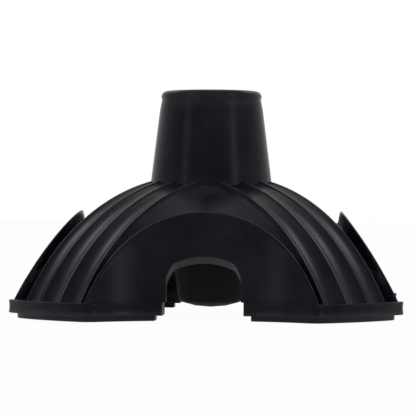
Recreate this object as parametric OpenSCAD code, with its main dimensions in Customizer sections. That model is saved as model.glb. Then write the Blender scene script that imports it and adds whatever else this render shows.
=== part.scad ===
// Cane stabilizer base: a one-piece moulded rubber foot with four feet under a fluted dome.
// A tapered collar takes the end of the cane, and a post under it stands just off the floor.
// Millimetres, +Z up, origin on the floor under the collar, hooded sides on X and Y, legs between.

/* [Feet] */
// Radius of the circle round the four feet, at the flange
foot_r = 62.5; // [60:0.5:66]
// Width across two opposite hollowed sides, at the flange
side_w = 86.2; // [82:0.2:94]
// Radius of the hollow in each side, seen from above
side_r = 43; // [40:1:50]
// Thickness of the pads under the feet
pad_h = 1.5; // [1:0.1:3]
// How far the pads stand in from the flange's edges
pad_inset = 2; // [1:0.1:2.4]
// Height of the flange above the pads
flange_h = 3.6; // [3:0.1:6]
// Height of the small bead along each edge of the flange
flange_bead_h = 0.8; // [0.5:0.1:1.2]
// How far the flange's beads stand out from its face
flange_bead = 0.35; // [0.2:0.05:0.6]
// Width of each foot from its outer edge to the hollow
foot_w = 11; // [9:0.5:13]
// Number of grooves in the tread
tread_count = 2; // [1:1:3]
// Width of a tread groove
tread_groove_w = 1; // [0.6:0.1:1.4]
// Depth of a tread groove
tread_groove_h = 0.7; // [0.4:0.1:0.9]

/* [Dome] */
// Height to which the straps and lips rise in the middle, under the collar
crest_h = 40.3; // [37:0.1:44]
// Radius of the rounder crown between the straps
crown_r = 54; // [52:0.5:60]
// Depth of the crown below the straps, at the collar
crown_drop = 1.5; // [0.8:0.1:2]
// Thickness of the moulded wall
wall = 4; // [3.5:0.1:5]

/* [Legs] */
// Width of the fluted strap over each pair of legs
strap_w = 22; // [18:0.5:23]
// Distance from the flange's edge in to the foot of a strap
strap_setback = 3.7; // [3:0.1:4.5]
// Width of a ridge's crest
ridge_w = 0.6; // [0.4:0.1:1]
// Width of the flank that slopes down beside the strap
flank_w = 4.5; // [3.5:0.1:5.5]
// Fall of the flank across its width
flank_h = 3; // [2:0.1:3.4]
// Step from the strap's edge down to the flank
flank_step = 0.4; // [0.2:0.1:0.8]
// Number of flutes along the strap
flute_count = 3; // [2:1:4]
// Depth of a flute below its ridges
flute_h = 0.9; // [0.5:0.1:1.2]

/* [Side faces] */
// Lean of the side faces from upright, in degrees
face_lean = 7; // [4:0.5:10]
// Distance from the flange's edge in to the side face
face_setback = 2.2; // [1.5:0.1:3.5]
// Thickness of the raised lip along the edge of a side face
lip_t = 1.75; // [1.2:0.05:2.5]
// Height of the lip above the dome
lip_h = 3; // [2.4:0.1:3.4]
// Distance from the flange's edge in to the foot of a lip
lip_setback = 1.5; // [1.2:0.1:2.5]

/* [Arches] */
// Width of the arch in each side
arch_w = 21.8; // [18:0.2:25]
// Height of the arch at the side face
arch_h = 17.4; // [14:0.2:20]
// Radius of the arch's crown
arch_crown_r = 17; // [14:0.5:24]
// How far the radius of the arch's shoulders exceeds half its width
arch_shoulder_ease = 0.4; // [0.2:0.1:1]
// Depth of the shoulders' centre below the top of the arch
arch_shoulder_h = 8.7; // [7:0.1:10]
// Slope of the arch's underside, down towards the inside, in degrees
arch_slope = 30; // [20:1:40]

/* [Collar] */
// Total height
total_h = 63.8; // [58:0.2:74]
// Diameter of the collar at its rim
collar_top_d = 28.2; // [26.6:0.2:32]
// Diameter of the collar where the straps meet it
collar_base_d = 34; // [33:0.2:38]
// Radius of the bead round the rim
rim_r = 1.6; // [1.2:0.1:2.2]
// How far the bead stands out from the collar
rim_bead = 0.3; // [0.1:0.05:0.6]
// Diameter of the socket for the cane
bore_d = 19; // [15:0.1:22]
// Depth of the socket
bore_depth = 34; // [26:0.5:36]
// Chamfer at the socket's mouth
bore_chamfer = 1; // [0.5:0.1:1.5]

/* [Post] */
// Clearance between the post and the floor
post_gap = 2; // [1:0.1:4]
// Diameter of the post at its foot
post_foot_d = 18; // [14:0.5:22]
// Diameter of the post where it meets the dome
post_top_d = 28; // [26.5:0.5:32]
// Radius of the post's rounded foot
post_foot_r = 25; // [18:0.5:40]

/* [Hidden] */
$fn = 96;
rubber = "#191a1d";
sides = 4;
turn = 360 / sides;
// Length by which a cutting shape passes through what it cuts
through = 1;
flange_top = pad_h + flange_h;
face_reach = side_w / 2;

// Radius of a ball with its top at crest_h that meets the flange's top at a given distance out
crest_rise = crest_h - flange_top;
function crest_ball(reach) = (reach * reach + crest_rise * crest_rise) / (2 * crest_rise);

// The lips rise to one such ball, with the dome inside it, and the straps to another
lip_r = crest_ball(foot_r - lip_setback);
lip_z = crest_h - lip_r;
dome_r = lip_r - lip_h;
strap_r = crest_ball(foot_r - strap_setback);
strap_z = crest_h - strap_r;
strap_root = strap_r - lip_h - wall / 2;

// Between the straps the dome has a rounder crown, set by its height at the collar
collar_r = collar_base_d / 2;
strap_at_collar = strap_z + sqrt(strap_r * strap_r - collar_r * collar_r);
crown_z = strap_at_collar - crown_drop - sqrt(crown_r * crown_r - collar_r * collar_r);

// A flute is a groove of round section between two crests
flute_pitch = (strap_w - ridge_w) / flute_count;
flute_chord = flute_pitch - ridge_w;
flute_r = (flute_chord * flute_chord / 4 + flute_h * flute_h) / (2 * flute_h);

flank_end = strap_w / 2 + flank_w;
flank_top = sqrt(strap_r * strap_r - strap_w * strap_w / 4) - flank_step;

// Each side face is part of a leaning round column that stands outside the dome
face_r = (side_r + face_setback) / cos(face_lean);
face_x = face_reach - face_setback + face_r * cos(face_lean);
face_z = flange_top + face_r * sin(face_lean);
face_len = 4 * crest_h;

arch_half = arch_w / 2;
arch_shoulder_r = arch_half + arch_shoulder_ease;
// Place of the arch's top on the side face
arch_x = face_reach - face_setback - (arch_h - flange_top) * tan(face_lean);
// Lengths of the arch's cut along its slope: out past the flange, and in past the foot's inner edge
arch_out = wall;
arch_in_x = face_reach - foot_w - through;
arch_back = (arch_x + arch_h * tan(arch_slope) - arch_in_x) * cos(arch_slope);

collar_foot_z = crest_h - lip_h - wall / 2;
collar_slope = (collar_r - collar_top_d / 2) / (total_h - crest_h);
collar_foot_r = collar_r + collar_slope * (crest_h - collar_foot_z);
rim_z = total_h - rim_r;
rim_x = collar_top_d / 2 + rim_bead - rim_r;
bore_z = total_h - bore_depth;
tread_pitch = (foot_w - 2 * pad_inset) / (tread_count + 1);

module ball(r, z = lip_z) {
    translate([0, 0, z]) sphere(r = r, $fn = 180);
}

module each_side() {
    for (i = [0 : sides - 1]) rotate(i * turn) children();
}

// Outline of the feet from above, drawn in by a distance
module foot_outline(inset) {
    difference() {
        circle(r = foot_r - inset, $fn = 180);
        each_side() translate([face_reach + side_r, 0]) circle(r = side_r + inset, $fn = 180);
    }
}

module foot_plate(z, h, inset) {
    translate([0, 0, z]) linear_extrude(h) foot_outline(inset);
}

// Column that cuts one side face, grown towards the dome by a distance
module face_column(grow) {
    translate([face_x, 0, face_z])
        rotate([0, -face_lean, 0])
            cylinder(r = face_r + grow, h = face_len, center = true, $fn = 240);
}

// Section of a strap: crests at the ball's outer radius, round flutes between, a flank on each side
module strap_section() {
    difference() {
        intersection() {
            circle(r = strap_r, $fn = 180);
            union() {
                translate([strap_root, -strap_w / 2]) square([strap_r - strap_root, strap_w]);
                polygon([
                    [strap_root, -flank_end],
                    [flank_top - flank_h, -flank_end],
                    [flank_top, -strap_w / 2],
                    [flank_top, strap_w / 2],
                    [flank_top - flank_h, flank_end],
                    [strap_root, flank_end]
                ]);
            }
        }
        for (i = [0 : flute_count - 1]) {
            u = (i - (flute_count - 1) / 2) * flute_pitch;
            rotate(asin(u / strap_r))
                translate([strap_r - flute_h + flute_r, 0])
                    circle(r = flute_r);
        }
    }
}

module straps() {
    for (i = [0 : sides / 2 - 1])
        translate([0, 0, strap_z])
            rotate([90, 0, (i + 0.5) * turn])
                rotate_extrude($fn = 180) strap_section();
}

// Lip that stands along the edge of each side face
module lips() {
    each_side() difference() {
        intersection() {
            ball(lip_r);
            face_column(lip_t);
        }
        face_column(0);
    }
}

module dome() {
    intersection() {
        union() {
            difference() {
                union() {
                    ball(dome_r);
                    ball(crown_r, crown_z);
                    straps();
                }
                each_side() face_column(0);
            }
            lips();
        }
        translate([0, 0, pad_h + flange_h / 2]) cylinder(r = foot_r, h = total_h);
    }
}

// Pad under each foot, set in from the flange all round, at the arches too
module pads() {
    difference() {
        foot_plate(0, pad_h, pad_inset);
        foot_plate(-through, pad_h + through, foot_w - pad_inset);
        each_side()
            translate([0, -arch_half - pad_inset, -through])
                cube([foot_r, arch_w + 2 * pad_inset, pad_h + through]);
    }
}

module feet() {
    pads();
    foot_plate(pad_h, flange_h, flange_bead);
    foot_plate(pad_h, flange_bead_h, 0);
    foot_plate(flange_top - flange_bead_h, flange_bead_h, 0);
}

module tread() {
    for (i = [1 : tread_count]) {
        r = foot_r - pad_inset - i * tread_pitch;
        rotate_extrude($fn = 180)
            translate([r - tread_groove_w / 2, -through])
                square([tread_groove_w, tread_groove_h + through]);
    }
}

module collar() {
    rotate_extrude() {
        polygon([
            [0, collar_foot_z],
            [collar_foot_r, collar_foot_z],
            [collar_top_d / 2, rim_z],
            [0, rim_z]
        ]);
        translate([0, rim_z - rim_r]) square([rim_x, 2 * rim_r]);
        translate([rim_x, rim_z]) circle(r = rim_r);
    }
}

module socket() {
    translate([0, 0, bore_z]) cylinder(d = bore_d, h = bore_depth + through);
    translate([0, 0, total_h - bore_chamfer])
        cylinder(d1 = bore_d, d2 = bore_d + 2 * (bore_chamfer + through), h = bore_chamfer + through);
}

module post() {
    intersection() {
        translate([0, 0, post_gap])
            cylinder(d1 = post_foot_d, d2 = post_top_d, h = crest_h - post_gap);
        union() {
            translate([0, 0, post_gap + post_foot_r]) sphere(r = post_foot_r);
            translate([0, 0, post_gap + post_foot_r]) cylinder(d = post_top_d, h = crest_h);
        }
    }
}

// Space inside: a wall's thickness under the dome, narrower between the feet, round the post
module hollow() {
    difference() {
        union() {
            difference() {
                intersection() {
                    ball(dome_r - wall);
                    translate([0, 0, flange_top]) cylinder(r = foot_r, h = crest_h);
                }
                each_side() face_column(wall);
            }
            foot_plate(-through, flange_top + 2 * through, foot_w);
        }
        post();
    }
}

// Outline of the arch, with its top at the origin: a wide crown, rounder shoulders, upright jambs
module arch_outline() {
    intersection() {
        translate([0, -arch_crown_r]) circle(r = arch_crown_r);
        translate([0, -arch_shoulder_h]) circle(r = arch_shoulder_r);
        translate([-arch_half, -arch_shoulder_h]) square([arch_w, arch_shoulder_h]);
    }
    translate([-arch_half, -2 * arch_h]) square([arch_w, 2 * arch_h - arch_shoulder_h + through]);
}

module arches() {
    each_side()
        translate([arch_x, 0, arch_h])
            rotate([90, 0, 90])
                rotate([-arch_slope, 0, 0])
                    translate([0, 0, -arch_back])
                        linear_extrude(arch_back + arch_out) arch_outline();
}

module cane_base() {
    color(rubber) difference() {
        union() {
            dome();
            feet();
            collar();
        }
        hollow();
        arches();
        tread();
        socket();
    }
}

cane_base();
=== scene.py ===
import math
import bmesh
import bpy
import numpy as np
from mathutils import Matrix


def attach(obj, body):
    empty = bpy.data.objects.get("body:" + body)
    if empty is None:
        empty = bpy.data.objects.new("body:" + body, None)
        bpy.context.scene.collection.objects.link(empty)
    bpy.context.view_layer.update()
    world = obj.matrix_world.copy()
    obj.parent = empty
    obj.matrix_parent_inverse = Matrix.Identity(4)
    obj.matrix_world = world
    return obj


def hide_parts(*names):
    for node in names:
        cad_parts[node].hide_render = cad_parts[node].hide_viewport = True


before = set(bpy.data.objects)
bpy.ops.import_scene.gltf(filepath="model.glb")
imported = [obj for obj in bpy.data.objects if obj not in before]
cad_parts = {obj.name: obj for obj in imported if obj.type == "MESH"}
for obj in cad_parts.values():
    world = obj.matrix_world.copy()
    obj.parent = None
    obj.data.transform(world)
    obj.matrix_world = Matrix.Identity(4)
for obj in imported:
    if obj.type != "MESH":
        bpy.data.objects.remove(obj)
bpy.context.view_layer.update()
print("frame loaded:", sorted(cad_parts))

# Sizes of the moulding in millimetres and degrees: most are the solid's own, the rest its finer finish
mould = {
    # Feet: their plan, the flange with its bead, the tread pad and its grooves
    "footR": 62.5, "sideReach": 43.1, "sideR": 43.0, "cornerR": 2.8, "footW": 11.0,
    "flangeTop": 5.1, "flangeLap": 0.9, "flangeEdge": 0.3,
    "flangeBead": 0.14, "beadH": 1.1, "beadEdge": 0.4,
    "padH": 1.5, "padInset": 2.0, "padEdge": 0.4,
    "grooves": 2, "grooveW": 1.0, "grooveH": 0.7, "grooveEdge": 0.1,
    # Dome and straps
    "crestH": 40.3, "strapSetback": 3.7, "crownR": 54.0, "crownDrop": 2.2, "wall": 4.0,
    "strapW": 22.0, "strapIn": 0.93, "strapOut": 1.08,  # the width's shares at the collar and at the foot
    "flutes": 3, "fluteH": 0.9, "ridgeW": 0.6,
    "bead": 0.22,  # how far a ridge's crest stands above the flutes beside it
    "soften": 0.07,  # how far the straps' edges are rubbed round
    "flankW": 4.5, "flankH": 3.0, "flankStep": 0.4, "stepRun": 0.1,
    "flankRun": 30.0,  # run over which a strap's side falls away past its flank
    "gutter": 1.6, "gutterW": 1.5, "gutterRun": (38.0, 52.0),  # its side falls deeper towards the foot
    "crownBlend": 3.2,  # width of the fillet where a strap's side runs out
    "grooveBlend": 1.0,  # width of the fillet between the crown and the groove behind the lip
    # Side faces, and the lip along their top edge
    "faceLean": 7.0, "faceSetback": 2.2, "lipSetback": 1.5, "lipH": 3.0, "lipT": 0.9,
    "lipDraft": 1.0, "lipBack": 3.6,  # run of the lip's back, and its fall to the groove
    "lipEdge": 0.55, "lipEdgeMost": 0.25, "lipSoften": 0.2,  # its rounding, at most a share of the face
    # Arches
    "archW": 20.2, "flangeGap": 21.8, "archH": 17.4, "archSlope": 30.0, "edge": 0.3,
    "archR": 17.0, "shoulderR": 10.5, "shoulderH": 8.7,
    # Collar, rim and socket
    "totalH": 63.8, "rimD": 28.2, "collarD": 34.0, "rimR": 1.6, "rimBead": 0.3, "rimTurn": 30.0,
    "boreD": 19.0, "boreDepth": 34.0, "boreChamfer": 1.0,
    "boreFloorEdge": 0.5, "boreEdge": 0.3, "mouthEdge": 0.25,
    # Post under the collar
    "postGap": 2.0, "postFootD": 18.0, "postTopD": 28.0, "postFootR": 25.0,
    "postEdge": 1.2, "postRings": (20.0, 10.0), "postFootMid": 0.41,
    # Wear and painted light: the rim's painted highlight, painted light on the dome round the collar's foot,
    # the arch's mattness with the inside's painted light, how far down a ridge its crest is painted pale as
    # a highlight, partly wear
    "rimPaintedHighlight": 0.35, "rootPaintedLight": 0.6, "rootRows": 14, "rootEase": 0.7,
    "archMattAndLit": 0.5, "archFade": 4, "crestDrop": 0.06,
}
# How many lines the surface has in each of its zones, and how they are spaced
lines = {
    "strap": 30, "fan": 13, "face": 17, "arch": 11,
    "dome": 32, "lipEdge": 4, "faceUp": 6, "faceLow": 5,
    "innerUp": 4, "innerDome": 9, "collar": 8, "rim": 10, "corner": 3, "postEdge": 4,
    "crowding": 2.2, "crowdingMost": 3,  # lines draw together where the strap is steep
    "strapPast": 0.55,  # how far the strap's lines go on past its last ridge
    "cornerGap": 0.35, "innerGap": 0.3,  # from a face's corner to its first line, outside and inside
    "faceEase": 1.15, "fanEase": 1.3, "innerTight": 0.02,
    "lipDepths": (4.6, 4.0, 3.4, 2.9, 2.5, 2.2, 1.9, 1.6, 1.3, 1.05, 0.8),  # rows over the lip
    "archRub": (0.0, 0.02, 0.06), "archSink": (0.0, 0.7, 1.0),  # rows over the arch's edges, and their depth
}
# How roots and tables are worked out
solver = {
    "halvings": 44, "lipHalvings": 34, "rounds": 12, "lipRounds": 3,
    "ringFrom": 40.0, "angleFrom": 0.2, "shareFrom": 0.05,  # low ends of what is halved
    "step": 0.01, "strapReach": 22.0, "lipReach": (-2.0, 8.0), "bellReach": 4, "tiny": 1e-6,
}
nStrap, nFan, nFace, nArch = lines["strap"], lines["fan"], lines["face"], lines["arch"]
nLeg, nFoot = nStrap + nFan, nStrap + nFan + nFace
nAll = nFoot + nArch
edgeCount, upCount, lowCount = lines["lipEdge"], lines["faceUp"], lines["faceLow"]
nUp, nIn = lines["innerUp"], lines["innerDome"]

# The dome's balls, their centres on the axis, and the leaning columns of the side faces
sides = 4
diagonal = math.pi / sides
lean, slope = math.radians(mould["faceLean"]), math.radians(mould["archSlope"])
rise = mould["crestH"] - mould["flangeTop"]
crestFootR = mould["footR"] - mould["lipSetback"]
crestBall = (crestFootR ** 2 + rise ** 2) / (2 * rise)
domeZ = mould["crestH"] - crestBall
strapFootR = mould["footR"] - mould["strapSetback"]
strapBall = (strapFootR ** 2 + rise ** 2) / (2 * rise)
strapZ = mould["crestH"] - strapBall
rootRing = mould["collarD"] / 2
strapAtRoot = strapZ + math.sqrt(strapBall ** 2 - rootRing ** 2)
crownZ = strapAtRoot - mould["crownDrop"] - math.sqrt(mould["crownR"] ** 2 - rootRing ** 2)
faceR = (mould["sideR"] + mould["faceSetback"]) / math.cos(lean)
faceX = mould["sideReach"] - mould["faceSetback"] + faceR * math.cos(lean)
faceZ = mould["flangeTop"] + faceR * math.sin(lean)
sideX = mould["sideReach"] + mould["sideR"]
archX = mould["sideReach"] - mould["faceSetback"] - (mould["archH"] - mould["flangeTop"]) * math.tan(lean)
jambV = mould["archW"] / 2 + mould["edge"]
innerFace = faceR + mould["wall"]
innerBall = crestBall - mould["lipH"] - mould["wall"]


# Root of a rising or falling function by halving, for a whole array of brackets at once.
def halve(fn, low, high, steps=solver["halvings"]):
    low, high = np.array(low, float), np.array(high, float)
    sign = np.sign(fn(high))
    for _ in range(steps):
        mid = (low + high) / 2
        past = fn(mid) * sign > 0
        high, low = np.where(past, mid, high), np.where(past, low, mid)
    return (low + high) / 2


# Shares from 0 to 1 in even steps, one to a row.
def evenSteps(count):
    return np.linspace(0, 1, count + 1)[:, None]


# Curve bent towards a middle point: the ends weigh by their squared shares, the middle by the rest.
def bent(t, start, middle, end):
    return (1 - t) ** 2 * start + 2 * t * (1 - t) * middle + t ** 2 * end


# A stepped profile rubbed round: the table is averaged over a bell of the given width.
def rubbed(step, values, width):
    far = solver["bellReach"] * width
    reach = np.arange(-far, far + step / 2, step)
    bell = np.exp(-0.5 * (reach / width) ** 2)
    pad = len(reach) // 2
    return np.convolve(np.pad(values, pad, mode="edge"), bell / bell.sum(), mode="valid")


# Drop of the strap below its crests at a distance across it: round flutes between level ridges,
# and beyond the last ridge a step and a flank that falls in a straight line.
def strapTable():
    step, reach = solver["step"], solver["strapReach"]
    u = np.arange(-reach, reach + step / 2, step)
    pitch = (mould["strapW"] - mould["ridgeW"]) / mould["flutes"]
    chord = pitch - mould["ridgeW"]
    fluteR = (chord ** 2 / 4 + mould["fluteH"] ** 2) / (2 * mould["fluteH"])
    edge = mould["strapW"] / 2
    beyond = np.abs(u) - edge
    flankTop = math.sqrt(strapBall ** 2 - edge ** 2) - mould["flankStep"]
    flank = flankTop - mould["flankH"] * beyond / mould["flankW"]
    flankDrop = strapBall - np.sqrt(flank ** 2 + u ** 2)
    stepDrop = mould["flankStep"] * beyond / mould["stepRun"]
    drop = np.where(beyond < 0, 0, np.minimum(flankDrop, stepDrop))
    drop += np.clip((beyond - mould["flankW"]) / mould["flankRun"], 0, 1) * mould["lipH"]
    for i in range(mould["flutes"]):
        off = np.abs(u - (i - (mould["flutes"] - 1) / 2) * pitch)
        cut = np.sqrt(np.maximum(fluteR ** 2 - off ** 2, 0)) - (fluteR - mould["fluteH"]) + mould["bead"]
        drop = np.where(off < chord / 2, cut, drop)
    return u, rubbed(step, drop, mould["soften"])


# Drop behind the lip's level crest at a depth behind the side face: a straight back down to a level groove.
def lipTable():
    step, (near, far) = solver["step"], solver["lipReach"]
    s = np.arange(near, far + step / 2, step)
    drop = np.clip((s - mould["lipT"]) / mould["lipDraft"], 0, 1) * mould["lipBack"]
    return s, rubbed(step, drop, mould["lipSoften"])


strapU, strapDrop = strapTable()
lipS, lipDrop = lipTable()


# Depth of a point behind the side face: its distance from the leaning column's axis, less the radius.
def faceDepth(x, y, z):
    q = (x - faceX) * math.cos(lean) + (z - faceZ) * math.sin(lean)
    return np.sqrt(q * q + y * y) - faceR


# Reach of the side face, or of its inner wall, at a width and a height: the column's front, less its lean.
def onFace(y, z, radius):
    return faceX - (np.sqrt(radius ** 2 - y * y) + (z - faceZ) * math.sin(lean)) / math.cos(lean)


# Points on a side face at widths and heights.
def facePoints(y, z, radius):
    return np.stack([onFace(y, z, radius), np.broadcast_to(y, z.shape), z], -1)


# Height of a ball over a plan point: its centre plus the root of radius squared less distance squared.
def ballTop(x, y, radius, centre):
    return centre + np.sqrt(np.maximum(radius ** 2 - x * x - y * y, 0))


# The strap widens a little from the collar to the foot, in a straight line along its run.
def strapShare(run):
    part = (run - rootRing) / (strapFootR - rootRing)
    return mould["strapIn"] + (mould["strapOut"] - mould["strapIn"]) * part


# The higher of two surfaces, with a fillet where they are closer than a given width.
def filleted(a, b, width):
    width = width + solver["tiny"]
    return np.maximum(a, b) + width / 4 * np.maximum(1 - np.abs(a - b) / width, 0) ** 2


# Height of the dome over a plan point: the highest of strap, lip, the crown under the collar and the groove
# behind the lip, with fillets between the last two and where a strap's side runs out on them.
def domeTop(x, y):
    x, y = np.broadcast_arrays(np.asarray(x, float), np.asarray(y, float))
    run = (x + y) / math.sqrt(2)
    across = (x - y) / math.sqrt(2) / strapShare(run)
    beside = np.clip((np.abs(across) - mould["strapW"] / 2) / mould["gutterW"], 0, 1)
    gutter = np.interp(run, mould["gutterRun"], (0, mould["gutter"])) * beside
    strap = ballTop(x, y, strapBall - np.interp(across, strapU, strapDrop) - gutter, strapZ)
    lip = ballTop(x, y, crestBall, domeZ)
    for _ in range(solver["lipRounds"]):
        lip = ballTop(x, y, crestBall - np.interp(faceDepth(x, y, lip), lipS, lipDrop), domeZ)
    crown = ballTop(x, y, mould["crownR"], crownZ)
    groove = ballTop(x, y, crestBall - mould["lipBack"], domeZ)
    low = filleted(crown, groove, mould["grooveBlend"])
    return np.maximum(lip, filleted(strap, low, mould["crownBlend"] * beside))


# Height at which a ball and a side face meet, at a width.
def edgeHeight(y, ball, face):
    y = np.asarray(y, float)
    gap = lambda z: onFace(y, z, face) ** 2 + y * y + (z - domeZ) ** 2 - ball ** 2
    return halve(gap, np.full(y.shape, 0.0), np.full(y.shape, domeZ + ball))


# Angle from the side's middle at which a ball meets a side face, level with the flange, and its distance.
def cornerAngle(ball, face):
    r = math.sqrt(ball ** 2 - (mould["flangeTop"] - domeZ) ** 2)
    gap = lambda a: r * np.cos(a) - onFace(r * np.sin(a), mould["flangeTop"], face)
    return float(halve(gap, solver["angleFrom"], diagonal)), r


# Angle of the corner between the round end and the hollow side of the foot, drawn in by an inset.
def footCorner(inset):
    r, hollow = mould["footR"] - inset, mould["sideR"] + inset
    return np.arccos((r ** 2 + sideX ** 2 - hollow ** 2) / (2 * r * sideX))


# A line of stations, each two measures and a radius: its corners become short curves.
def rounded(stations, count=lines["corner"]):
    out = []
    for k, (a, z, r) in enumerate(stations):
        here = np.array([a, z])
        if r == 0:
            out.append(here)
            continue
        before = np.array(stations[k - 1][:2]) - here
        after = np.array(stations[k + 1][:2]) - here
        start = here + before / np.linalg.norm(before) * r
        end = here + after / np.linalg.norm(after) * r
        for t in np.linspace(0, 1, count):
            out.append(bent(t, start, here, end))
    return np.array(out)


# Columns of one eighth, from the leg's diagonal to the middle of a side
steepness = np.minimum(np.abs(np.diff(strapDrop) / solver["step"]), lines["crowdingMost"])
strapSteps = np.cumsum(np.r_[0, solver["step"] * (1 + lines["crowding"] * steepness)])
strapEnds = np.interp((0, mould["strapW"] / 2 + lines["strapPast"]), strapU, strapSteps)
acrossU = np.interp(np.linspace(*strapEnds, nStrap), strapSteps, strapU)
acrossU[0] = 0.0
cornerA, cornerRing = cornerAngle(crestBall, faceR)
cornerV = cornerRing * math.sin(cornerA)
faceV = jambV + (cornerV - lines["cornerGap"] - jambV) * (1 - np.linspace(0, 1, nFace)) ** lines["faceEase"]
archV = np.linspace(jambV, 0, nArch + 1)[1:]
lipV = np.r_[faceV, archV]
evenAngle = np.linspace(diagonal, 0, nAll)
fanPart = np.arange(1, nFan + 1) / (nFan + 1)

# Collar: its radius falls in a straight line with height, and its foot follows the dome
collarFall = (mould["collarD"] - mould["rimD"]) / 2 / (mould["totalH"] - mould["crestH"])
collarAt = lambda z: rootRing + collarFall * (mould["crestH"] - z)
rootR = np.full(nAll, rootRing)
rootU = acrossU
for _ in range(solver["rounds"]):
    rootU = acrossU * strapShare(np.sqrt(rootR[:nStrap] ** 2 - rootU ** 2))
    strapRoot = diagonal - np.arcsin(rootU / rootR[:nStrap])
    rootAngle = np.r_[strapRoot, np.linspace(strapRoot[-1], 0, nAll - nStrap + 1)[1:]]
    rootX, rootY = rootR * np.cos(rootAngle), rootR * np.sin(rootAngle)
    rootZ = domeTop(rootX, rootY)
    rootR = collarAt(rootZ)


# Distance at which each of some lines down the dome comes to the flange's top.
def ringAt(fn, count):
    gap = lambda d: mould["flangeTop"] - fn(d)
    return halve(gap, np.full(count, solver["ringFrom"]), np.full(count, mould["footR"]))


# Plan points of the strap's columns at a run along the leg: so far along the diagonal, and across it.
def strapLine(run):
    off = acrossU * strapShare(run)
    return (run + off) / math.sqrt(2), (run - off) / math.sqrt(2)


# Ends of the columns on the dome: the foot for the leg's columns, the lip's edge for the others
strapX, strapY = strapLine(ringAt(lambda run: domeTop(*strapLine(run)), nStrap))
strapAngle = np.arctan2(strapY, strapX)
fanAngle = strapAngle[-1] + (cornerA - strapAngle[-1]) * fanPart
fanRing = ringAt(lambda r: domeTop(r * np.cos(fanAngle), r * np.sin(fanAngle)), nFan)
lipZ = edgeHeight(lipV, crestBall, faceR)
lipX = onFace(lipV, lipZ, faceR)
endX = np.r_[strapX, fanRing * np.cos(fanAngle), lipX]
endY = np.r_[strapY, fanRing * np.sin(fanAngle), lipV]


# Point on the dome at a share of a column's straight plan line from the collar to its end.
def onDome(t, cols=slice(None)):
    x = rootX[cols] + t * (endX[cols] - rootX[cols])
    y = rootY[cols] + t * (endY[cols] - rootY[cols])
    return np.stack([x, y, domeTop(x, y)], -1)


# Rows over the lip follow lines of equal depth behind the face
lipCols = slice(nLeg, nAll)
lipLevels = np.r_[lines["lipDepths"], mould["lipEdge"]]
shape = (len(lipLevels), nFace + nArch)
depthAt = lambda t: faceDepth(*np.moveaxis(onDome(t, lipCols), -1, 0)) - lipLevels[:, None]
lowShare, highShare = np.full(shape, solver["shareFrom"]), np.ones(shape)
lipShare = halve(lambda t: -depthAt(t), lowShare, highShare, solver["lipHalvings"])
lipShare = np.maximum.accumulate(lipShare, 0)
domeShare = evenSteps(lines["dome"])[:-1] * lipShare[0]
upperRows = lines["dome"] + len(lipLevels) + edgeCount + upCount
allRows = upperRows + lowCount

# The leg's columns keep the same rows, spread along the dome and drawn together towards the lip's foot
cornerShare = np.r_[domeShare[:, 0], lipShare[:, 0]]
lastShare = np.linspace(cornerShare[-1], 1, edgeCount + upCount + lowCount + 1)[1:]
cornerShare = np.r_[cornerShare, lastShare][:, None]
pull = np.r_[np.zeros(nStrap), fanPart ** lines["fanEase"]]
legShare = (1 - pull) * evenSteps(allRows - 1) + pull * cornerShare
legDome = onDome(legShare, slice(0, nLeg))
legDome[-1, :, 2] = mould["flangeTop"]

# Lip's edge: a short curve from the crest over the edge to the face
faceDrop = lipZ - mould["flangeTop"]
crestRows = onDome(np.concatenate([domeShare, lipShare]), lipCols)
edgeLow = lipZ - np.minimum(mould["lipEdge"], mould["lipEdgeMost"] * faceDrop)
edgeTip = np.stack([lipX, lipV, lipZ], -1)
edgeRows = bent(evenSteps(edgeCount)[1:, :, None], crestRows[-1], edgeTip, facePoints(lipV, edgeLow, faceR))


# Underside of the arch: the outline's height at a width, the lower of a wide crown and a rounder shoulder.
def archOutline(v, grow=0.0):
    crown = np.sqrt(np.maximum((mould["archR"] + grow) ** 2 - v * v, 0)) - mould["archR"]
    shoulder = np.sqrt(np.maximum((mould["shoulderR"] + grow) ** 2 - v * v, 0)) - mould["shoulderH"]
    return np.minimum(crown, shoulder)


# Where the arch's sloping line at a width meets a face: two straight lines in the side's plane.
def archMeets(v, face, grow=0.0):
    h = archOutline(v, grow)
    baseX, baseZ = archX - h * math.sin(slope), mould["archH"] + h * math.cos(slope)
    wallX = onFace(v, mould["flangeTop"], face)
    run = (wallX - math.tan(lean) * (baseZ - mould["flangeTop"]) - baseX) / (
        math.cos(slope) + math.tan(lean) * math.sin(slope))
    return np.stack([baseX + run * math.cos(slope), v, baseZ + run * math.sin(slope)], -1)


# Side face: from the lip's edge down to the arch's height, and beside the arch on down to the flange
archOut = archMeets(np.r_[jambV, archV], faceR, mould["edge"])
archIn = archMeets(np.r_[jambV, archV], innerFace, mould["edge"])
keep = (archOut[0, 2] - mould["flangeTop"]) / (lipZ[nFace - 1] - mould["flangeTop"])
splitZ = np.r_[mould["flangeTop"] + keep * faceDrop[:nFace], archOut[1:, 2]]
faceUp = facePoints(lipV, edgeLow + evenSteps(upCount)[1:] * (splitZ - edgeLow), faceR)
faceLowZ = splitZ[:nFace] + evenSteps(lowCount)[1:] * (mould["flangeTop"] - splitZ[:nFace])
sideUpper = np.concatenate([crestRows, edgeRows, faceUp])
outerDome = np.concatenate([legDome[:upperRows], sideUpper], 1)
outerLow = np.concatenate([legDome[upperRows:], facePoints(faceV, faceLowZ, faceR)], 1)
print("dome, straps and side faces worked out:", outerDome.shape)


# Rings round the axis: radius and height of each row, turned to each column's angle.
def rings(line, angle):
    r, z = line[:, 0, None], line[:, 1, None]
    return np.stack([r * np.cos(angle), r * np.sin(angle), z + 0 * angle], -1)


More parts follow.
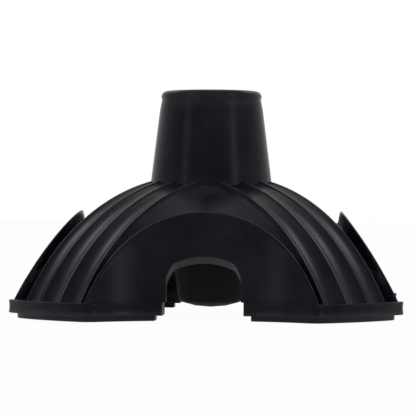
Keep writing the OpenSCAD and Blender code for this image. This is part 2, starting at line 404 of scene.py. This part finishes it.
# Collar, rim and socket: a profile carried round the axis, its columns easing to even angles at the rim
totalH, rimR = mould["totalH"], mould["rimR"]
rimZ, rimX = totalH - rimR, mould["rimD"] / 2 + mould["rimBead"] - rimR
rimTurn = np.linspace(math.pi / 2, -math.radians(mould["rimTurn"]), lines["rim"])
boreR, boreZ = mould["boreD"] / 2, totalH - mould["boreDepth"]
boreLine = rounded([
    (0, boreZ, 0), (boreR, boreZ, mould["boreFloorEdge"]),
    (boreR, totalH - mould["boreChamfer"], mould["boreEdge"]),
    (boreR + mould["boreChamfer"], totalH, mould["mouthEdge"]), (rimX, totalH, 0)])
rimLine = np.r_[boreLine[:-1], np.stack([rimX + rimR * np.cos(rimTurn), rimZ + rimR * np.sin(rimTurn)], -1)]
seatZ = rimLine[-1, 1]
fall = evenSteps(lines["collar"])[1:-1]
ease = fall * fall * (3 - 2 * fall)
collarZ = seatZ + fall * (rootZ - seatZ)
collarAngle = evenAngle + ease * (rootAngle - evenAngle)
collarR = collarAt(collarZ)
collarRows = np.stack([collarR * np.cos(collarAngle), collarR * np.sin(collarAngle), collarZ], -1)
upper = np.concatenate([rings(rimLine, evenAngle[None]), collarRows, outerDome])


# Outline of the foot for every column of the leg, drawn in by an inset: a round end and a hollow side,
# with a curve in place of the corner between them.
def footOutline(inset, jambIn):
    corner, fullCorner = footCorner(inset), footCorner(0.0)
    r, hollow = mould["footR"] - inset, mould["sideR"] + inset
    flangeStrap = diagonal - np.arcsin(acrossU * mould["strapOut"] / mould["footR"])
    flangeFan = flangeStrap[-1] + (fullCorner - flangeStrap[-1]) * fanPart
    turn = np.r_[flangeStrap, flangeFan]
    turn = diagonal - (diagonal - turn) * (diagonal - corner) / (diagonal - fullCorner)
    jambHere = jambV + jambIn
    v = jambHere + (faceV - jambV) * (r * math.sin(corner) - jambHere) / (faceV[0] - jambV)
    x = np.r_[r * np.cos(turn), sideX - np.sqrt(hollow ** 2 - v * v)]
    y = np.r_[r * np.sin(turn), v]
    step = np.r_[0, np.cumsum(np.hypot(np.diff(x), np.diff(y)))]
    step = step - step[nLeg]
    reach = mould["cornerR"]
    share = (step + reach) / (2 * reach)
    out = []
    for a in (x, y):
        start, end = np.interp((-reach, reach), step, a)
        out.append(np.where(np.abs(step) < reach, bent(share, start, a[nLeg], end), a))
    return np.stack(out, -1)


# Foot: a profile of inset and height carried along the outline, over the flange, pad and tread.
# The stations 1 mm past the pad's edges only give the floor's direction.
top, pad, inset = mould["flangeTop"], mould["padH"], mould["padInset"]
beadIn, beadH, beadEdge = mould["flangeBead"], mould["beadH"], mould["beadEdge"]
flangeEdge, padEdge = mould["flangeEdge"], mould["padEdge"]
sideLine = rounded([
    (mould["flangeLap"], top, 0), (0, top, flangeEdge),
    (beadIn, top - beadH, beadEdge), (beadIn, pad + beadH, beadEdge), (0, pad, flangeEdge),
    (inset, pad, 0), (inset, 0, padEdge), (inset + 1, 0, 0)])[:-1]
grooveStep = (mould["footW"] - 2 * inset) / (mould["grooves"] + 1)
half, lead, deep = mould["grooveW"] / 2, mould["grooveEdge"], mould["grooveH"]
treadStations = []
for i in range(1, mould["grooves"] + 1):
    a = inset + i * grooveStep
    treadStations += [
        (a - half - lead, 0), (a - half, lead), (a - half + lead, deep),
        (a + half - lead, deep), (a + half, lead), (a + half + lead, 0)]
treadLine = np.array(treadStations)
padEnd = mould["footW"] - inset
padLine = rounded([
    (padEnd - 1, 0, 0), (padEnd, 0, padEdge), (padEnd, pad, 0),
    (mould["footW"], pad, flangeEdge), (mould["footW"], top, 0)])[1:-1]
innerZ = np.linspace(padLine[-1, 1], top, len(sideLine) - len(padLine) + 1)[1:]
innerLine = np.r_[padLine, np.stack([np.full(len(innerZ), mould["footW"]), innerZ], -1)]
footLine = np.r_[sideLine, treadLine, innerLine]
nSide, nTread = len(sideLine), len(treadLine)
# The flange ends a little short of the arch's edge, and the pad stands in from it there too
padWall = lines["corner"] + 1  # rows of the pad's wall and lower edge
jambIn = np.full(len(footLine), (mould["flangeGap"] - mould["archW"]) / 2)
jambIn[nSide - padWall:nSide + nTread + padWall] += inset
footRows = np.stack([
    np.c_[footOutline(a, shift), np.full(nFoot, z)] for (a, z), shift in zip(footLine, jambIn)])
footRows[nSide:nSide + nTread, nLeg:, 2] = 0  # grooves cross the ends of the feet, not their sides

# Inside: the wall's inner faces and the ball under the dome, in to the post
innerCorner, innerRing = cornerAngle(innerBall, innerFace)
innerCornerV = innerRing * math.sin(innerCorner)
legAngle = np.r_[strapAngle, fanAngle]
innerAngle = diagonal - (diagonal - legAngle) * (diagonal - innerCorner) / (diagonal - cornerA)
innerFaceV = jambV + (faceV - jambV) * (innerCornerV - lines["innerGap"] - jambV) / (faceV[0] - jambV)
innerV = np.r_[innerFaceV, archV]
innerLipZ = edgeHeight(innerV, innerBall, innerFace)
innerEndX = np.r_[innerRing * np.cos(innerAngle), onFace(innerV, innerLipZ, innerFace)]
innerEndY = np.r_[innerRing * np.sin(innerAngle), innerV]
postFall = (mould["postTopD"] - mould["postFootD"]) / 2 / (mould["crestH"] - mould["postGap"])
postAt = lambda z: mould["postFootD"] / 2 + postFall * (z - mould["postGap"])
postR = mould["postTopD"] / 2
for _ in range(solver["rounds"]):
    postR = float(postAt(ballTop(postR, 0.0, innerBall, domeZ)))
postX, postY = postR * np.cos(evenAngle), postR * np.sin(evenAngle)


# Point under the dome at a share of a column's plan line from its outer end in to the post.
def underDome(t, cols=slice(None)):
    x = innerEndX[cols] + t * (postX[cols] - innerEndX[cols])
    y = innerEndY[cols] + t * (postY[cols] - innerEndY[cols])
    return np.stack([x, y, ballTop(x, y, innerBall, domeZ)], -1)


innerKeep = (archIn[0, 2] - top) / (innerLipZ[nFace - 1] - top)
innerSplit = np.r_[top + innerKeep * (innerLipZ[:nFace] - top), archIn[1:, 2]]
tight = lines["innerTight"]
innerTight = np.r_[np.linspace(0, tight, lowCount + nUp + 1), np.linspace(tight, 1, nIn + 1)[1:]][:, None]
innerShare = (1 - pull) * evenSteps(lowCount + nUp + nIn) + pull * innerTight
legUnder = underDome(innerShare, slice(0, nLeg))
innerLow = facePoints(innerFaceV, top + evenSteps(lowCount) * (innerSplit[:nFace] - top), innerFace)
innerUp = facePoints(innerV, innerSplit + evenSteps(nUp) * (innerLipZ - innerSplit), innerFace)
sideUnder = underDome(evenSteps(nIn)[1:], lipCols)
innerFoot = np.concatenate([legUnder[:lowCount + 1], innerLow], 1)
innerDome = np.concatenate([legUnder[lowCount:], np.concatenate([innerUp, sideUnder])], 1)

# Post: a cone with a slightly crowned foot that stops short of the floor
postFootHalf = mould["postFootD"] / 2
footEdgeZ = mould["postGap"] + mould["postFootR"] - math.sqrt(mould["postFootR"] ** 2 - postFootHalf ** 2)
postLine = rounded([
    (postR, float(ballTop(postR, 0.0, innerBall, domeZ)), 0),
    *[(postAt(z), z, 0) for z in mould["postRings"]],
    (postAt(footEdgeZ), footEdgeZ, mould["postEdge"]),
    (postFootHalf / 2, mould["postGap"] + mould["postFootMid"], 0),
    (0, mould["postGap"], 0)], lines["postEdge"])
inside = np.concatenate([innerDome, rings(postLine[1:], evenAngle[None])])
foot = np.concatenate([outerDome[-1:, :nFoot], outerLow, footRows, innerFoot])
print("foot and inside worked out:", foot.shape, inside.shape)

# Arch: jamb and underside in one sheet, from the outer edge to the inner one, both edges rounded
jamb = foot[:, nFoot - 1]
treadFrom = lowCount + 1 + nSide
outerJamb = jamb[:treadFrom][::-1]
bottomJamb = jamb[treadFrom:treadFrom + nTread]
innerJamb = jamb[treadFrom + nTread:]
nJamb = len(outerJamb)
outerArch = np.concatenate([outerJamb, upper[-1, nFoot:]])
innerArch = np.concatenate([innerJamb, inside[0, nFoot:]])
rub, sink = np.array(lines["archRub"]), np.array(lines["archSink"])
midCount = nTread + 2 - 2 * len(rub)
share = np.r_[rub, np.linspace(rub[-1], 1 - rub[-1], midCount + 2)[1:-1], 1 - rub[::-1]]
depthIn = np.r_[sink, np.ones(midCount), sink[::-1]]
archSheet = outerArch[:, None] + share[:, None] * (innerArch - outerArch)[:, None]
exactV = archV * (mould["archW"] / 2) / jambV
exactOut, exactIn = archMeets(exactV, faceR), archMeets(exactV, innerFace)
exact = exactOut[:, None] + share[:, None] * (exactIn - exactOut)[:, None]
archSheet[:nJamb, :, 1] += depthIn * (mould["archW"] / 2 - jambV)
archSheet[nJamb:] += depthIn[:, None] * (exact - archSheet[nJamb:])
archSheet[0] = np.concatenate([outerJamb[:1], bottomJamb, innerJamb[:1]])
print("arch worked out:", archSheet.shape)


# Quads of a grid of rows and columns.
def gridFaces(rows, cols, offset):
    i, j = np.meshgrid(np.arange(rows - 1), np.arange(cols - 1), indexing="ij")
    a = (i * cols + j + offset).ravel()
    return np.stack([a, a + 1, a + cols + 1, a + cols], -1)


meshLook = {"metres": 0.001, "weld": 2e-6, "sliver": 1e-7, "sharp": 50.0}


# One eighth of the moulding mirrored on the side's middle and turned to the four sides, its seams joined.
def buildMoulding(name, grids, shades, look):
    points, faces, offset = [], [], 0
    marks = {key: [] for key in shades}
    for side in range(sides):
        turn = side * 2 * math.pi / sides
        c, s = round(math.cos(turn)), round(math.sin(turn))
        for flip in (1, -1):
            for k, g in enumerate(grids):
                for key in shades:
                    marks[key].append(np.broadcast_to(shades[key][k], g.shape[:2]).ravel())
                p = g.reshape(-1, 3) * np.array([1, flip, 1])
                points.append(np.stack([c * p[:, 0] - s * p[:, 1], s * p[:, 0] + c * p[:, 1], p[:, 2]], -1))
                q = gridFaces(g.shape[0], g.shape[1], offset)
                faces.append(q if flip > 0 else q[:, ::-1])
                offset += len(p)
    mesh = bpy.data.meshes.new(name)
    mesh.from_pydata(np.concatenate(points) * look["metres"], [], np.concatenate(faces))
    for key in marks:
        values = np.concatenate(marks[key]).astype(np.float32)
        mesh.attributes.new(key, "FLOAT", "POINT").data.foreach_set("value", values)
    work = bmesh.new()
    work.from_mesh(mesh)
    bmesh.ops.remove_doubles(work, verts=work.verts, dist=look["weld"])
    bmesh.ops.dissolve_degenerate(work, edges=work.edges, dist=look["sliver"])
    bmesh.ops.recalc_face_normals(work, faces=work.faces)
    openEdges = sum(1 for e in work.edges if len(e.link_faces) != 2)
    triangles = sum(len(f.verts) - 2 for f in work.faces)
    volume = round(work.calc_volume() / look["metres"] ** 3)
    print(name, "triangles", triangles, "open edges", openEdges, "volume mm3", volume)
    work.to_mesh(mesh)
    work.free()
    mesh.shade_smooth()
    mesh.set_sharp_from_angle(angle=math.radians(look["sharp"]))
    piece = bpy.data.objects.new(name, mesh)
    bpy.context.scene.collection.objects.link(piece)
    return piece


# The inside is matt, as it comes from the core of the mould, and its colour is painted much paler there as
# painted light, since it lies in shade
footMattAndLit = (np.arange(len(foot)) >= len(foot) - len(innerFoot) - len(innerLine)).astype(float)[:, None]
# the arch's underside fades into the inside's mattness and its painted light
archMattAndLit = mould["archMattAndLit"] * np.clip(share * mould["archFade"], 0, 1)[None]
# The crests of the ridges are painted pale as highlight lines, partly wear; the rim gets a painted
# highlight, and the dome round the collar's foot painted light where the collar shades it
crestHighlight = np.zeros(nAll)
crestHighlight[:nStrap] = np.interp(acrossU, strapU, strapDrop) < mould["crestDrop"]
rootRow, rootRows = len(upper) - len(outerDome) + 1, mould["rootRows"]
upperWearAndPaintedLight = np.zeros(upper.shape[:2])
upperWearAndPaintedLight[rootRow:] = crestHighlight
# painted light on the dome round the collar's foot, fading away from the collar and towards the straps
rootLightFade = np.linspace(1, 0, rootRows)[:, None] * np.linspace(0, 1, nAll - nStrap) ** mould["rootEase"]
upperWearAndPaintedLight[rootRow:rootRow + rootRows, nStrap:] = mould["rootPaintedLight"] * rootLightFade
# a painted highlight all along the rim
upperWearAndPaintedLight[len(boreLine) - 1:len(rimLine)] = mould["rimPaintedHighlight"]
footWearAndPaintedLight = np.zeros(foot.shape[:2])
footWearAndPaintedLight[:len(outerLow) + 1] = crestHighlight[:nFoot]
shades = {"matt": [0.0, footMattAndLit, 1.0, archMattAndLit], "worn": [upperWearAndPaintedLight, footWearAndPaintedLight, 0.0, 0.0]}
base = buildMoulding("base_moulding", [upper, foot, inside, archSheet], shades, meshLook)
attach(base, "root")
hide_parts("cane_base")


# A socket of a node tree, so that shader maths reads as plain expressions.
class Sock:
    def __init__(self, tree, out):
        self.tree, self.out = tree, out

    def node(self, kind, settings=None, inputs=None, out=0):
        n = self.tree.nodes.new(kind)
        for key, value in (settings or {}).items():
            if key == "stops":
                ramp = n.color_ramp.elements
                while len(ramp) < len(value):
                    ramp.new(0.5)
                for e, (at, tone) in zip(ramp, value):
                    e.position, e.color = at, (tone, tone, tone, 1)
            else:
                setattr(n, key, value)
        for key, value in (inputs or {}).items():
            if isinstance(value, Sock):
                self.tree.links.new(value.out, n.inputs[key])
            else:
                n.inputs[key].default_value = value
        return Sock(self.tree, n.outputs[out])

    def maths(self, operation, a, b):
        return self.node("ShaderNodeMath", {"operation": operation}, {0: a, 1: b})

    def __add__(self, other):
        return self.maths("ADD", self, other)

    def __radd__(self, other):
        return self.maths("ADD", other, self)

    def __sub__(self, other):
        return self.maths("SUBTRACT", self, other)

    def __rsub__(self, other):
        return self.maths("SUBTRACT", other, self)

    def __mul__(self, other):
        return self.maths("MULTIPLY", self, other)

    def __rmul__(self, other):
        return self.maths("MULTIPLY", other, self)


rubberLook = {
    # The pale tone is wear together with painted highlights and painted light, the tone near the floor is
    # painted floor light, and the inside tone is painted light
    "dark": (0.0045, 0.0051, 0.0086, 1), "dusty": (0.0165, 0.0175, 0.0235, 1),
    "worn": (0.055, 0.058, 0.066, 1), "low": (0.046, 0.046, 0.050, 1), "inner": (0.085, 0.085, 0.092, 1),
    # Noises: scale, detail and roughness
    "cloud": (60.0, 4.0, 0.6), "grain": (2600.0, 2.0, 0.5), "scuff": (190.0, 6.0, 0.7), "noiseMean": 0.5,
    "cloudStops": (0.42, 0.72), "cloudBloom": 0.7, "scuffStops": (0.56, 0.74), "scuffBloom": 0.3,
    "wearAndPaintedLightStops": (0.35, 0.65), "wearAndPaintedLightLeast": 0.35,  # the wear and the painted highlights and light are broken up by the scuffs
    "lowFrom": 0.0030, "lowStops": (0.0, 0.6), "lowLeast": 0.4,  # the painted floor light starts this high, in metres
    "roughness": 0.27, "cloudRough": 0.14, "scuffRough": 0.10, "mattRough": 0.75, "specular": 0.06,
    "bump": 0.12, "bumpHeight": 0.00008, "cloudBump": 0.6,
}


# Satin moulded rubber: near black with faint clouds of bloom, scuffs, a fine grain and an uneven sheen.
# It is matt inside, with its colour painted paler there as painted light; pale along the ridges' crests with
# wear and painted highlight lines, with a painted highlight on the rim and painted light round the collar's
# foot; and painted paler next to the floor as painted floor light.
def rubberMaterial(look):
    mat = bpy.data.materials.new("satin_rubber")
    mat.use_nodes = True
    tree = mat.node_tree
    tree.nodes.clear()
    surface = tree.nodes.new("ShaderNodeBsdfPrincipled")
    output = tree.nodes.new("ShaderNodeOutputMaterial")
    tree.links.new(surface.outputs[0], output.inputs[0])
    place = Sock(tree, tree.nodes.new("ShaderNodeTexCoord").outputs["Object"])

    def noise(scale, detail, roughness):
        return place.node("ShaderNodeTexNoise", {}, {
            "Vector": place, "Scale": scale, "Detail": detail, "Roughness": roughness})

    def ramp(value, low, high):
        return value.node("ShaderNodeValToRGB", {"stops": [(low, 0.0), (high, 1.0)]}, {"Fac": value})

    def blend(part, a, b):  # a colour Mix has its colours at sockets 6 and 7, and their blend at 2
        return part.node("ShaderNodeMix", {"data_type": "RGBA"}, {"Factor": part, 6: a, 7: b}, 2)

    cloud, grain, scuff = noise(*look["cloud"]), noise(*look["grain"]), noise(*look["scuff"])
    matt = place.node("ShaderNodeAttribute", {"attribute_name": "matt"}, {}, "Fac")
    worn = place.node("ShaderNodeAttribute", {"attribute_name": "worn"}, {}, "Fac")
    height = place.node("ShaderNodeSeparateXYZ", {}, {"Vector": place}, "Z")
    # painted floor light: paler within a few millimetres of the floor, broken up by the clouds
    floorLight = ramp(1 - height * (1 / look["lowFrom"]), *look["lowStops"])
    floorLight = floorLight * (look["lowLeast"] + (1 - look["lowLeast"]) * cloud)
    bloom = ramp(cloud, *look["cloudStops"]) * look["cloudBloom"]
    bloom = bloom + ramp(scuff, *look["scuffStops"]) * look["scuffBloom"]
    worn = worn * (look["wearAndPaintedLightLeast"] + (1 - look["wearAndPaintedLightLeast"]) * ramp(scuff, *look["wearAndPaintedLightStops"]))
    tone = blend(bloom, look["dark"], look["dusty"])
    # pale tone: wear, with painted highlights on the crests and rim and painted light round the collar's
    # foot
    tone = blend(worn, tone, look["worn"])
    # painted floor light near the floor
    tone = blend(floorLight, tone, look["low"])
    # painted light inside: a much paler tone where the inside is matt
    tone = blend(matt, tone, look["inner"])
    rough = look["roughness"] + (cloud - look["noiseMean"]) * look["cloudRough"]
    rough = rough + (scuff - look["noiseMean"]) * look["scuffRough"]
    rough = rough + matt * (look["mattRough"] - rough)
    relief = grain + cloud * look["cloudBump"]
    bump = relief.node("ShaderNodeBump", {}, {
        "Strength": look["bump"], "Distance": look["bumpHeight"], "Height": relief})
    tree.links.new(tone.out, surface.inputs["Base Color"])
    tree.links.new(rough.out, surface.inputs["Roughness"])
    tree.links.new(bump.out, surface.inputs["Normal"])
    surface.inputs["Specular IOR Level"].default_value = look["specular"]
    return mat


base.data.materials.append(rubberMaterial(rubberLook))
print("rubber done")


# Share of a ray that meets plain white: all of it from the camera, in a reflection or through glass.
def whiteShare(tree):
    path = tree.nodes.new("ShaderNodeLightPath")
    seen = Sock(tree, path.outputs["Is Camera Ray"])
    for kind in ("Is Transmission Ray", "Is Glossy Ray"):
        seen = seen.maths("MAXIMUM", seen, Sock(tree, path.outputs[kind]))
    return seen


floorLook = {"half": 3.0, "height": -0.0002, "tone": (0.86, 0.86, 0.86, 1), "shadow": 0.03}


# Floor: pale and wide, white to the camera apart from a share that keeps the object's soft shadow.
def buildFloor(look):
    h, z = look["half"], look["height"]
    mesh = bpy.data.meshes.new("floor")
    mesh.from_pydata([(-h, -h, z), (h, -h, z), (h, h, z), (-h, h, z)], [], [(0, 1, 2, 3)])
    floor = bpy.data.objects.new("floor", mesh)
    bpy.context.scene.collection.objects.link(floor)
    mat = bpy.data.materials.new("pale_floor")
    mat.use_nodes = True
    tree = mat.node_tree
    tree.nodes.clear()
    matte = tree.nodes.new("ShaderNodeBsdfDiffuse")
    matte.inputs["Color"].default_value = look["tone"]
    glow = tree.nodes.new("ShaderNodeEmission")
    blend = tree.nodes.new("ShaderNodeMixShader")
    output = tree.nodes.new("ShaderNodeOutputMaterial")
    tree.links.new((whiteShare(tree) * (1 - look["shadow"])).out, blend.inputs[0])
    tree.links.new(matte.outputs[0], blend.inputs[1])
    tree.links.new(glow.outputs[0], blend.inputs[2])
    tree.links.new(blend.outputs[0], output.inputs[0])
    mesh.materials.append(mat)


buildFloor(floorLook)
print("floor done")

roomLook = {"level": 0.30, "tilt": 0.19, "glow": 0.9, "spread": 30.0}


# Room: plain white where it is seen, and otherwise a dim light, weaker at the back apart from a glow.
def buildRoom(look):
    world = bpy.data.worlds.new("room")
    bpy.context.scene.world = world
    world.use_nodes = True
    tree = world.node_tree
    tree.nodes.clear()
    seen = whiteShare(tree)
    heading = Sock(tree, tree.nodes.new("ShaderNodeTexCoord").outputs["Generated"])
    behind = heading.node("ShaderNodeSeparateXYZ", {}, {"Vector": heading}, "Y")
    glow = behind.maths("POWER", behind.maths("MAXIMUM", behind, 0.0), look["spread"])
    room = look["level"] - behind * look["tilt"] + glow * look["glow"]
    sky = tree.nodes.new("ShaderNodeBackground")
    sky.inputs["Color"].default_value = (1, 1, 1, 1)
    tree.links.new((room + seen * (1 - room)).out, sky.inputs["Strength"])
    output = tree.nodes.new("ShaderNodeOutputWorld")
    tree.links.new(sky.outputs[0], output.inputs[0])


buildRoom(roomLook)

# Soft boxes for the sheen: place and size in metres, and the brightness of the face, where white is 1
softBoxes = {
    "back_left_box": {"at": (-0.54, 0.48, 0.69), "size": (0.32, 0.32), "level": 3.2},
    "back_right_box": {"at": (0.52, 0.50, 0.69), "size": (0.32, 0.32), "level": 3.2},
    "back_top_box": {"at": (0.0, 0.42, 0.90), "size": (0.30, 0.40), "level": 1.3},
    "top_box": {"at": (0.0, 0.0, 1.00), "size": (0.60, 0.40), "level": 0.8},
    "right_strip": {"at": (0.62, -0.52, 0.16), "size": (0.08, 0.50), "level": 8.0},
    "left_strip": {"at": (-0.62, -0.52, 0.16), "size": (0.10, 0.50), "level": 4.0},
    "left_card": {"at": (-0.90, -0.05, 0.07), "size": (0.50, 0.14), "level": 1.0},
    "right_card": {"at": (0.90, -0.05, 0.07), "size": (0.50, 0.14), "level": 1.2},
}
lampLook = {"colour": (0.94, 0.97, 1.0), "aim": (0.0, 0.0, 0.02)}


def buildLamp(name, box, look):
    lamp = bpy.data.lights.new(name, "AREA")
    lamp.shape, lamp.size, lamp.size_y = "RECTANGLE", *box["size"]
    lamp.energy = box["level"] * math.pi * box["size"][0] * box["size"][1]
    lamp.color = look["colour"]
    holder = bpy.data.objects.new(name, lamp)
    bpy.context.scene.collection.objects.link(holder)
    holder.visible_camera = False
    holder.location = box["at"]
    aim = np.array(look["aim"]) - np.array(box["at"])
    holder.rotation_euler = (
        math.atan2(math.hypot(aim[0], aim[1]), -aim[2]), 0, math.atan2(aim[1], aim[0]) - math.pi / 2)


for name, box in softBoxes.items():
    buildLamp(name, box, lampLook)
print("lights done")

# Camera: low and far off, level, a little to the right of the front; metres, degrees and millimetres of lens
cameraLook = {
    "azimuth": 2.8, "distance": 0.667, "height": 0.0324, "roll": -0.22,
    "lens": 201.0, "sensor": 36.0, "shiftX": -0.0076, "shiftY": -0.0171, "clip": (0.01, 50.0),
}


def buildCamera(look):
    camera = bpy.data.cameras.new("camera")
    camera.lens, camera.sensor_width = look["lens"], look["sensor"]
    camera.shift_x, camera.shift_y = look["shiftX"], look["shiftY"]
    camera.clip_start, camera.clip_end = look["clip"]
    shooter = bpy.data.objects.new("camera", camera)
    bpy.context.scene.collection.objects.link(shooter)
    turn = math.radians(look["azimuth"])
    away = look["distance"]
    shooter.location = (math.sin(turn) * away, -math.cos(turn) * away, look["height"])
    shooter.rotation_euler = (math.pi / 2, math.radians(look["roll"]), turn)
    bpy.context.scene.camera = shooter


buildCamera(cameraLook)
bpy.context.scene.view_settings.view_transform = "Standard"
print("camera done")
